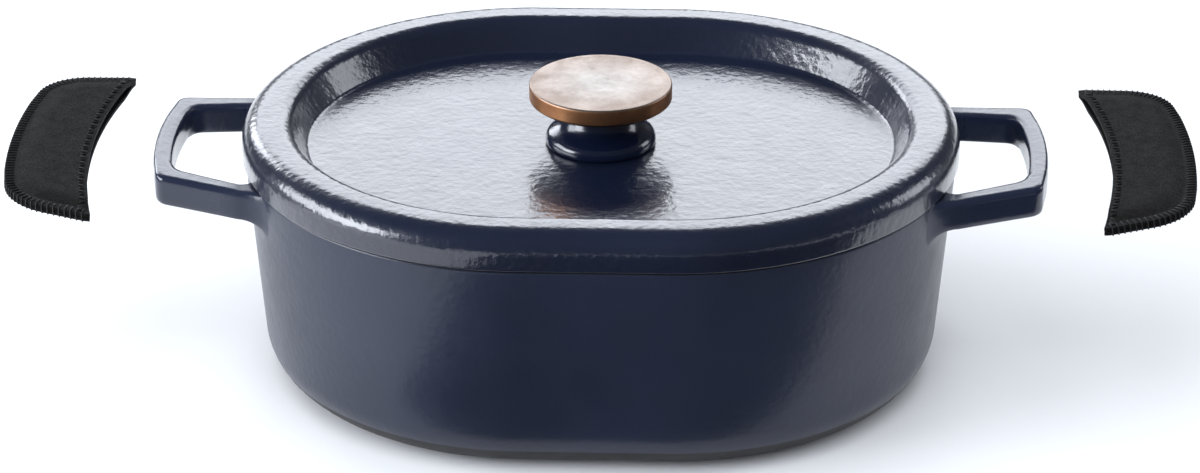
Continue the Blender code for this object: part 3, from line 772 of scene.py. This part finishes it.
@dataclass
class Knob:
    """Enamelled stem, bronze disc and the steel hardware that clamps them to the lid."""

    panel: float
    lid_wall: float = 4.0 * MM
    disc_radius: float = 30.8 * MM
    disc_thickness: float = 8.0 * MM
    disc_under: float = 19.6 * MM
    disc_chamfer: float = 1.6 * MM
    lip_outer: float = 2.6 * MM
    lip_inner: float = 3.6 * MM
    lip_depth: float = 0.06 * MM
    foot_radius: float = 24.6 * MM
    foot_height: float = 3.2 * MM
    neck_radius: float = 15.2 * MM
    neck_base: float = 10.2 * MM
    screw_radius: float = 3.0 * MM
    head_radius: float = 6.2 * MM
    head_height: float = 3.6 * MM
    thread_pitch: float = 1.0 * MM
    thread_depth: float = 0.35 * MM
    engagement: float = 5.2 * MM
    washer_radius: float = 8.5 * MM
    washer_thickness: float = 1.2 * MM
    lock_radius: float = 6.0 * MM
    lock_thickness: float = 1.5 * MM
    seal_radius: float = 8.0 * MM
    seal_top: float = 1.5 * MM
    gap: float = 0.3 * MM

    @property
    def bore(self) -> float:
        """Radius of every hole that the screw passes."""
        return self.screw_radius + self.gap

    def stem(self, enamel: Material) -> None:
        """Cushion foot, widest just above the panel, that draws in to a straight neck."""
        seat, recess = self.seal_top + self.gap, self.seal_radius + self.gap
        top = self.disc_under - self.gap
        corners = [
            (self.bore, seat, 0),
            (recess, seat, 0),
            (recess, self.gap, 0),
            (self.foot_radius - 1.0 * MM, self.gap, 0.8 * MM),
            (self.foot_radius + 0.2 * MM, self.foot_height + 0.6 * MM, 4.5 * MM),
            (self.neck_radius, self.neck_base + 0.3 * MM, 9.0 * MM),
            (self.neck_radius, top - 1.5 * MM, 1.5 * MM),
            (self.neck_radius + 1.5 * MM, top, 0.2 * MM),
            (self.bore, top, 0),
        ]
        path = spaced(rounded(corners, 14), 2 * MM) + (0, self.panel)
        dressed(turned("knob_stem_cushion", path, 160), enamel, "navy_enamel", "lid", "knob_stem")

    def disc(self, bronze: Material) -> None:
        """Flat disc with a softened top edge and a shallow lip turned into its side."""
        low, high = self.disc_under, self.disc_under + self.disc_thickness
        r, blind = self.disc_radius, low + self.engagement + self.gap
        corners = [
            (0, blind, 0),
            (self.bore, blind, 0),
            (self.bore, low, 0),
            (r - self.disc_chamfer, low, 0),
            (r, low + 1.2 * MM, 0.8 * MM),
            (r, high, 0.9 * MM),
            (r - self.lip_outer, high, 0.4 * MM),
            (r - self.lip_inner, high - self.lip_depth, 0.4 * MM),
            (0, high - self.lip_depth, 0),
        ]
        path = spaced(rounded(corners, 8), 2.5 * MM) + (0, self.panel)
        disc = turned("knob_bronze_disc", path, 192, Ends.FLAT, 32)
        dressed(disc, bronze, "satin_bronze", "lid", "knob_disc")

    def hardware(self, steel: Material, seal: Material) -> None:
        """Screw with a slotted pan head, plain washer, split spring washer and the seal in the foot."""
        top = -self.lid_wall - self.gap
        low = top - self.washer_thickness
        washer = self._ring("knob_plain_washer", self.washer_radius, low, top, 0.3 * MM)
        dressed(washer, steel, "stainless_steel", "lid", "knob_washer")
        low -= self.gap
        self._spring_washer(low, steel)
        ring = self._ring("knob_foot_seal", self.seal_radius, self.gap, self.seal_top, 0.4 * MM)
        dressed(ring, seal, "seal", "lid", "knob_seal")
        self._screw(low - self.lock_thickness - self.gap, steel)

    def _ring(self, name: str, outer: float, low: float, high: float, edge: float) -> Object:
        """Flat ring round the screw, with its outer edges twice as round as its inner ones."""
        section = rounded([(self.bore, low, edge / 2), (outer, low, edge), (outer, high, edge),
                           (self.bore, high, edge / 2)], 4, wrap=True)
        return turned(name, section + (0, self.panel), 72)

    def _spring_washer(self, top: float, steel: Material) -> None:
        """Split ring of square section: its two ends stand a little apart."""
        split = math.radians(14)
        angle = np.linspace(0, 2 * math.pi - split, 73)[:, None]
        low, edge = top - self.lock_thickness, 0.2 * MM
        section = rounded([(self.bore, low, edge), (self.lock_radius, low, edge),
                           (self.lock_radius, top, edge), (self.bore, top, edge)], 3, wrap=True)
        radius, height = section[:, 0], section[:, 1] + self.panel
        grid = np.stack([radius * np.cos(angle), radius * np.sin(angle), height + 0 * angle], -1)
        ring = closed_grid("knob_spring_washer", grid, Ends.FLAT)
        dressed(ring, steel, "stainless_steel", "lid", "knob_lock_washer")

    def _screw(self, head_top: float, steel: Material) -> None:
        """Pan-head screw with a driver slot and rolled thread rings along its shank."""
        low = head_top - self.head_height
        tip = self.disc_under + self.engagement
        pitch, depth = self.thread_pitch, self.thread_depth
        first, last = head_top + 4 * MM, tip - 2 * MM
        turns = int((last - first) / pitch)
        crest = first + pitch * np.arange(turns)
        teeth = np.stack([
            np.tile([self.screw_radius - depth, self.screw_radius], turns),
            (crest[:, None] + (0, pitch / 2)).reshape(-1),
        ], 1)
        rim = self.head_radius
        head = rounded([(0, low, 0), (4.4 * MM, low, 1.6 * MM), (rim, head_top - 1.6 * MM, 1.0 * MM),
                        (rim, head_top, 0.2 * MM), (self.screw_radius, head_top, 0)], 6)
        end = np.array([(self.screw_radius - 0.6 * MM, tip), (0, tip)])
        path = np.concatenate([head, teeth, end]) + (0, self.panel)
        screw = turned("knob_clamp_screw", path, 64, Ends.FLAT, 30)
        slot = closed_grid("driver_slot", self._slot_grid(low), Ends.FLAT)
        combined(screw, slot, "DIFFERENCE")
        dressed(screw, steel, "stainless_steel", "lid", "knob_screw")

    def _slot_grid(self, low: float) -> Array:
        """Box that cuts the driver slot across the head."""
        half, long, deep = 0.6 * MM, 8 * MM, 1.6 * MM
        ring = np.array([(-long, -half), (long, -half), (long, half), (-long, half)])
        levels = self.panel + low + np.array([-1 * MM, deep])
        return np.stack([np.column_stack([ring, np.full(4, z)]) for z in levels])


# ---------------------------------------------------------------- leather covers


@dataclass
class Cover:
    """A slip-on handle cover: two leather panels, whip stitched on three sides, open at the mouth.

    Plan coordinates are x outwards from the middle of the mouth and y along the cover. The panels lie
    flat on each other in the seam and rise to the pocket's height inside it. As the cover goes onto
    its handle, the inside of each panel moves away from the seam while its sewn edge stays.
    """

    name: str
    side: int
    mouth_x: float = 220.5 * MM
    mouth_z: float = 96.4385 * MM
    slope: float = math.radians(5.5)
    depth: float = 35.0 * MM
    mouth_half: float = 71.0 * MM
    mouth_bow: float = 8.6 * MM
    end_half: float = 63.0 * MM
    end_bow: float = 6.5 * MM
    corner: float = 26.0 * MM
    leather: float = 1.6 * MM
    seam_gap: float = 0.15 * MM
    seam_width: float = 5.0 * MM
    slope_width: float = 9.4 * MM
    pocket_half: float = 1.8 * MM
    thread: float = 0.62 * MM
    whip_pitch: float = 2.5 * MM
    whip_reach: float = 3.9 * MM
    whip_lean: float = 0.36
    row_pitch: float = 2.8 * MM
    row_lean: float = 0.55 * MM
    bar_pitch: float = 1.05 * MM
    whip_margin: float = 9 * MM
    row_margin: float = 7 * MM
    bar_margin: float = 6.2 * MM
    along: int = 150
    across: int = 30

    def edges(self, count: int) -> tuple[Array, Array]:
        """Mouth and seam in plan, from the -y tip to the +y tip, as count points each."""
        share = np.linspace(-1, 1, 121)
        mouth = np.stack([-self.mouth_bow * share**2, self.mouth_half * share], 1)
        bow = np.linspace(-0.55, 0.55, 15)
        corner_x = self.depth - self.end_bow
        tip, flare = 2.4 * MM, 0.2 * MM
        end = -self.mouth_bow
        bar = [(self.depth - self.end_bow * b * b, self.end_half * b, 0.0) for b in bow]
        seam = rounded([
            (end, -self.mouth_half, 0), (end + tip, -self.mouth_half - flare, tip / 2),
            (corner_x, -self.end_half, self.corner), *bar, (corner_x, self.end_half, self.corner),
            (end + tip, self.mouth_half + flare, tip / 2), (end, self.mouth_half, 0),
        ], 14)
        return resampled(mouth, count), resampled(seam, count)

    def seam_distance(self, plan: Array) -> Array:
        """Shortest distance in plan from each point to the sewn edge."""
        _, path = self.edges(161)
        start, run = path[:-1], np.diff(path, axis=0)
        share = np.einsum("pij,ij->pi", plan[:, None] - start, run) / (run**2).sum(1)
        nearest = start + np.clip(share, 0, 1)[..., None] * run
        return np.linalg.norm(plan[:, None] - nearest, axis=2).min(1)

    def lift_share(self, plan: Array) -> Array:
        """0 in the seam, rising as a sine to 1 where the pocket has its full height."""
        share = np.clip((self.seam_distance(plan) - self.seam_width) / self.slope_width, 0, 1)
        return np.sin(share * math.pi / 2)

    def inner_height(self, plan: Array) -> Array:
        """Height of a panel's inner face above the seam plane, with a soft pillowy crown."""
        return self.seam_gap + (self.pocket_half - self.seam_gap) * self.lift_share(plan)

    def to_world(self, local: Array) -> Array:
        """Turns (x, y, height) of the cover into the frame: climbs outwards by the handle's slope."""
        cos, sin = math.cos(self.slope), math.sin(self.slope)
        x, y, z = local.T
        out = self.mouth_x + x * cos - z * sin
        return np.stack([self.side * out, self.side * y, self.mouth_z + x * sin + z * cos], 1)

    def to_plan(self, world: Array) -> Array:
        """Plan coordinates of points in the frame, the inverse of to_world without its height."""
        cos, sin = math.cos(self.slope), math.sin(self.slope)
        out = world[:, 0] * self.side - self.mouth_x
        up = world[:, 2] - self.mouth_z
        return np.stack([out * cos + up * sin, self.side * world[:, 1]], 1)

    def panel(self, face: int) -> Object:
        """One leather panel, top (+1) or bottom (-1): a sheet thickened outwards with rounded edges."""
        mouth, seam = self.edges(self.along + 1)
        share = (np.linspace(0, 1, self.across + 1) ** 1.35)[None, :, None]
        plan = (seam[:, None] + share * (mouth - seam)[:, None]).reshape(-1, 2)
        height = face * self.inner_height(plan)
        world = self.to_world(np.column_stack([plan, height]))
        faces = grid_faces(self.along + 1, self.across + 1, False, False)
        mesh = bpy.data.meshes.new("panel")
        mesh.from_pydata(world.tolist(), [], faces.tolist())
        bm = bmesh.new()
        bm.from_mesh(mesh)
        bmesh.ops.remove_doubles(bm, verts=bm.verts, dist=0.02 * MM)
        bm.normal_update()
        if sum(f.normal.z for f in bm.faces) * face < 0:
            bmesh.ops.reverse_faces(bm, faces=bm.faces)
        bm.to_mesh(mesh)
        bm.free()
        where = "top" if face > 0 else "bottom"
        obj = linked(f"{self.name}_cover_{where}_leather", mesh)
        shell = obj.modifiers.new("thickness", "SOLIDIFY")
        shell.thickness, shell.offset = self.leather, 1.0
        soft = obj.modifiers.new("burnished_edge", "BEVEL")
        soft.width, soft.segments, soft.limit_method = 0.45 * MM, 3, "ANGLE"
        soft.angle_limit = math.radians(60)
        applied(obj)
        obj.data.shade_smooth()
        return obj

    def follow(self, obj: Object) -> None:
        """Bakes a piece's place into its mesh and works out each point's share of the inside's motion.

        The share follows the distance from the seam, as the pocket's shape does; it is not applied, so
        the piece stays as it is.
        """
        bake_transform(obj)
        points = np.empty(len(obj.data.vertices) * 3, np.float32)
        obj.data.vertices.foreach_get("co", points)
        share = self.lift_share(self.to_plan(points.reshape(-1, 3).astype(float)))

    def stitches(self, name: str, paths: list[Array], sides: int = 6) -> Object:
        """Many short threads as one piece: each is a round tube carried along its own path.

        Args:
            name: the piece's name.
            paths: (n, 3) plan-and-height points of each thread.
            sides: faces round a thread.
        """
        angle = np.linspace(0, 2 * math.pi, sides, endpoint=False)
        points, faces, base = [], [], 0
        for path in paths:
            run = unit(np.gradient(path, axis=0))
            aside = unit(np.cross(run, (0.37, 0.61, 0.70)))
            over = np.cross(run, aside)
            taper = np.ones(len(path))
            taper[[0, -1]] = 0.45
            radius = (self.thread / 2 * taper)[:, None, None]
            ring = np.cos(angle)[:, None] * aside[:, None] + np.sin(angle)[:, None] * over[:, None]
            grid = path[:, None] + radius * ring
            rows = len(path)
            points.append(grid.reshape(-1, 3))
            quads = grid_faces(rows, sides, False, True) + base
            faces.extend(map(tuple, quads.tolist()))
            faces.append(tuple(base + np.arange(sides)))
            faces.append(tuple(base + (rows - 1) * sides + np.arange(sides)[::-1]))
            base += rows * sides
        return make_mesh(name, self.to_world(np.concatenate(points)), faces, 80)

    def whip_paths(self) -> list[Array]:
        """Whip stitches: each goes over the edge from a hole in the top panel to one in the bottom.

        In the section across the edge a stitch is a flat stretch, a half ellipse round the edge and a
        flat stretch back, and it leans along the edge by a third of the pitch.
        """
        _, seam = self.edges(401)
        length = float(np.linalg.norm(np.diff(seam, axis=0), axis=1).sum())
        count = int((length - self.whip_margin) / self.whip_pitch)
        run = unit(np.gradient(seam, axis=0))
        out = np.stack([run[:, 1], -run[:, 0]], 1)
        place = np.linspace(0.018, 0.982, count) * (len(seam) - 1)
        top = self.seam_gap + self.leather
        bend = np.linspace(math.pi / 2, -math.pi / 2, 6)
        reach = self.whip_reach
        proud = 0.4 * self.thread
        across = np.concatenate([[-reach, -reach + 0.4 * MM, -reach / 2], proud * np.cos(bend),
                                 [-reach / 2, -reach + 0.4 * MM, -reach]])
        up = np.concatenate([[top - 0.5 * MM, top + proud * 0.7, top + proud],
                             (top + proud * 0.8) * np.sin(bend),
                             [-top - proud, -top - proud * 0.7, -top + 0.5 * MM]])
        lean = np.linspace(-0.5, 0.5, len(across)) * self.whip_pitch * self.whip_lean
        keys = np.arange(len(seam))
        paths = []
        for at in place:
            centre = np.array([np.interp(at, keys, seam[:, k]) for k in (0, 1)])
            normal = np.array([np.interp(at, keys, out[:, k]) for k in (0, 1)])
            tangent = np.array([-normal[1], normal[0]])
            plan = centre + across[:, None] * normal + lean[:, None] * tangent
            paths.append(np.column_stack([plan, up]))
        return paths

    def mouth_paths(self, face: int) -> list[Array]:
        """Short slanted stitches beside the mouth, with a dense bar of longer ones at each tip."""
        half = self.mouth_half
        ys = np.arange(-half + self.row_margin, half - self.row_margin, self.row_pitch)
        paths = []
        for i, y in enumerate(ys):
            lean = self.row_lean if i % 2 else -self.row_lean
            paths.append(self._flat_stitch(y - lean, y + lean, 1.3 * MM, 3.9 * MM, face))
        for tip in (-1, 1):
            for step in range(4):
                y = tip * (half - self.bar_margin + step * self.bar_pitch)
                paths.append(self._flat_stitch(y, y, 0.9 * MM + 0.25 * MM * step, 5.2 * MM, face))
        return paths

    def _flat_stitch(self, y0: float, y1: float, near: float, far: float, face: int) -> Array:
        """A stitch that dips into the leather at both ends and lies on it between them."""
        share = np.array([0.0, 0.12, 0.5, 0.88, 1.0])
        y = y0 + share * (y1 - y0)
        x = -self.mouth_bow * (y / self.mouth_half) ** 2 + near + share * (far - near)
        plan = np.stack([x, y], 1)
        rise = np.array([-0.5, 0.22, 0.34, 0.22, -0.5]) * MM
        height = self.outer_height(plan) + rise
        return np.column_stack([plan, face * height])

    def outer_height(self, plan: Array) -> Array:
        """Height of a panel's outer face: the inner height plus the leather along the slope."""
        small = 0.05 * MM
        slope = np.zeros(len(plan))
        for k in range(2):
            nudge = np.zeros(2)
            nudge[k] = small
            rise = self.inner_height(plan + nudge) - self.inner_height(plan - nudge)
            slope += (rise / (2 * small)) ** 2
        return self.inner_height(plan) + self.leather * np.sqrt(1 + slope)

    def build(self, leather: Material, thread: Material) -> None:
        """Makes both panels and every stitch of the cover."""
        prefix = f"{self.name}_cover"
        for face, part in ((1, "top"), (-1, "bottom")):
            sheet = dressed(self.panel(face), leather, "black_leather", "", f"{prefix}_{part}_panel")
            self.follow(sheet)
            row = self.stitches(f"{prefix}_mouth_stitches_{part}", self.mouth_paths(face))
            dressed(row, thread, "black_thread", "", f"{prefix}_mouth_thread_{part}")
            self.follow(row)
        whip = self.stitches(f"{prefix}_whip_stitches", self.whip_paths())
        dressed(whip, thread, "black_thread", prefix, f"{prefix}_edge_thread")


# ---------------------------------------------------------------- studio


@dataclass
class Studio:
    """Pale floor, soft lights and the camera."""

    eye: Triple = (0.0500, -1.5741, 0.8202)
    target: Triple = (-0.0003, 0.0, 0.0558)
    lens: float = 119.9

    def camera(self) -> None:
        """Long lens, looking down at the pot's front."""
        data = bpy.data.cameras.new("camera")
        data.lens = self.lens
        data.sensor_width = 36.0
        data.clip_end = 50.0
        camera = linked("camera", data)
        camera.location = self.eye
        aim = Vector(self.target) - Vector(self.eye)
        camera.rotation_euler = aim.to_track_quat("-Z", "Y").to_euler()
        bpy.context.scene.camera = camera

    def panel_light(self, name: str, place: Triple, size: tuple[float, float],
                    radiance: float, mirrored: bool) -> None:
        """A rectangular soft light that faces the pot.

        Args:
            name: the light's name.
            place: its middle.
            size: width and height.
            radiance: brightness of its surface.
            mirrored: whether glossy surfaces show it.
        """
        data = bpy.data.lights.new(name, "AREA")
        data.shape = "RECTANGLE"
        data.size, data.size_y = size
        data.energy = radiance * math.pi * size[0] * size[1]
        data.color = (0.89, 0.93, 1.0)
        light = linked(name, data)
        light.location = place
        aim = Vector((0, 0, 0.08)) - Vector(place)
        light.rotation_euler = aim.to_track_quat("-Z", "Y").to_euler()
        light.visible_camera = False
        light.visible_glossy = mirrored

    def lights(self) -> None:
        """A bright sky behind, strong light from the left, weaker from the right, and soft fills."""
        for light in (
            ("back_light", (0.0, 2.6, 1.32), (2.5, 1.2), 3.5, True),
            ("back_strip", (-1.60, 2.3, 1.20), (0.7, 1.2), 6.5, True),
            ("left_light", (-2.2, -0.9, 0.75), (1.2, 1.0), 12.0, True),
            ("left_wing", (-2.3, 0.2, 0.85), (1.0, 1.0), 8.0, True),
            ("right_wing", (2.3, 0.8, 0.9), (0.9, 1.0), 3.5, True),
            ("fill", (0.0, -0.6, 3.0), (4.0, 4.0), 2.7, False),
            ("front_fill", (0.3, -2.6, 1.6), (3.0, 1.5), 2.0, False),
        ):
            self.panel_light(*light)

    def front_flag(self, material: Material) -> None:
        """A dark card in front that only reflections see, as a studio hangs one to deepen a gloss."""
        flag = self._plane("front_flag", (-0.12, 0.75), (-1.6, -0.13), 2 * MM, material)
        flag.visible_camera = flag.visible_shadow = flag.visible_diffuse = False

    def _plane(self, name: str, across: tuple[float, float], along: tuple[float, float], height: float,
               material: Material) -> Object:
        """A level rectangle with its material."""
        (x0, x1), (y0, y1) = across, along
        mesh = bpy.data.meshes.new(name)
        mesh.from_pydata([(x0, y0, height), (x1, y0, height), (x1, y1, height), (x0, y1, height)], [],
                         [(0, 1, 2, 3)])
        mesh.materials.append(material)
        plane = linked(name, mesh)
        return plane

    def surroundings(self) -> None:
        """Floor and world."""
        graph = Graph("pale_floor")
        tone = graph.mix(graph.noise(3.0, 2.0), (0.80, 0.80, 0.80), (0.82, 0.82, 0.82))
        material = graph.finish(Base_Color=tone, Roughness=0.9, Specular_IOR_Level=0.1)
        self._plane("floor", (-5.0, 5.0), (-5.0, 5.0), -0.2 * MM, material)
        black = Graph("black_card")
        soot = black.mix(black.noise(5.0), (0.004, 0.004, 0.004), (0.006, 0.006, 0.006))
        self.front_flag(black.finish(Base_Color=soot, Roughness=0.9, Specular_IOR_Level=0.0))
        world = bpy.data.worlds.new("studio")
        world.use_nodes = True
        sky = world.node_tree.nodes["Background"]
        sky.inputs["Color"].default_value = (0.93, 0.96, 1.0, 1.0)
        sky.inputs["Strength"].default_value = 0.08
        bpy.context.scene.world = world
        bpy.context.scene.view_settings.view_transform = "Standard"

    def build(self) -> None:
        """Sets the whole stage."""
        self.camera()
        self.lights()
        self.surroundings()


def main() -> None:
    """Builds the studio and every sub-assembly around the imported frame."""
    logging.basicConfig(level=logging.INFO, format="%(message)s")
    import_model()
    Studio().build()

    oval = Oval()
    lid_enamel = Enamel("navy_enamel_lid").material()
    pot_enamel = Enamel("navy_enamel_pot", (0.0095, 0.0135, 0.0300), roughness=0.36, level=0.42,
                        coat=0.24, coat_roughness=0.22, ripple=0.22 * MM,
                        gloss_from=152 * MM).material()
    stem_enamel = Enamel("navy_enamel_stem", (0.0045, 0.0075, 0.0220), roughness=0.2, coat=0.45,
                         coat_roughness=0.1, ripple=0.15 * MM).material()
    pot_inside = Enamel("matt_black_inside", (0.010, 0.010, 0.011), roughness=0.5, level=0.4, coat=0.0,
                        ripple=0.05 * MM, ripple_scale=900.0).material()
    steel = STEEL.material()

    Pot(oval).build(pot_enamel, pot_inside)
    lid = Lid(oval)
    lid.build(lid_enamel)
    knob = Knob(lid.seam + lid.panel)
    knob.stem(stem_enamel)
    underside = knob.panel + knob.disc_under
    knob.disc(Bronze().material(underside, underside + knob.disc_thickness, knob.disc_radius))
    knob.hardware(steel, SEAL.material())
    leather, thread = Leather().material(), THREAD.material()
    for name, side in (("left", -1), ("right", 1)):
        Cover(name, side).build(leather, thread)


if __name__ == "__main__":
    main()
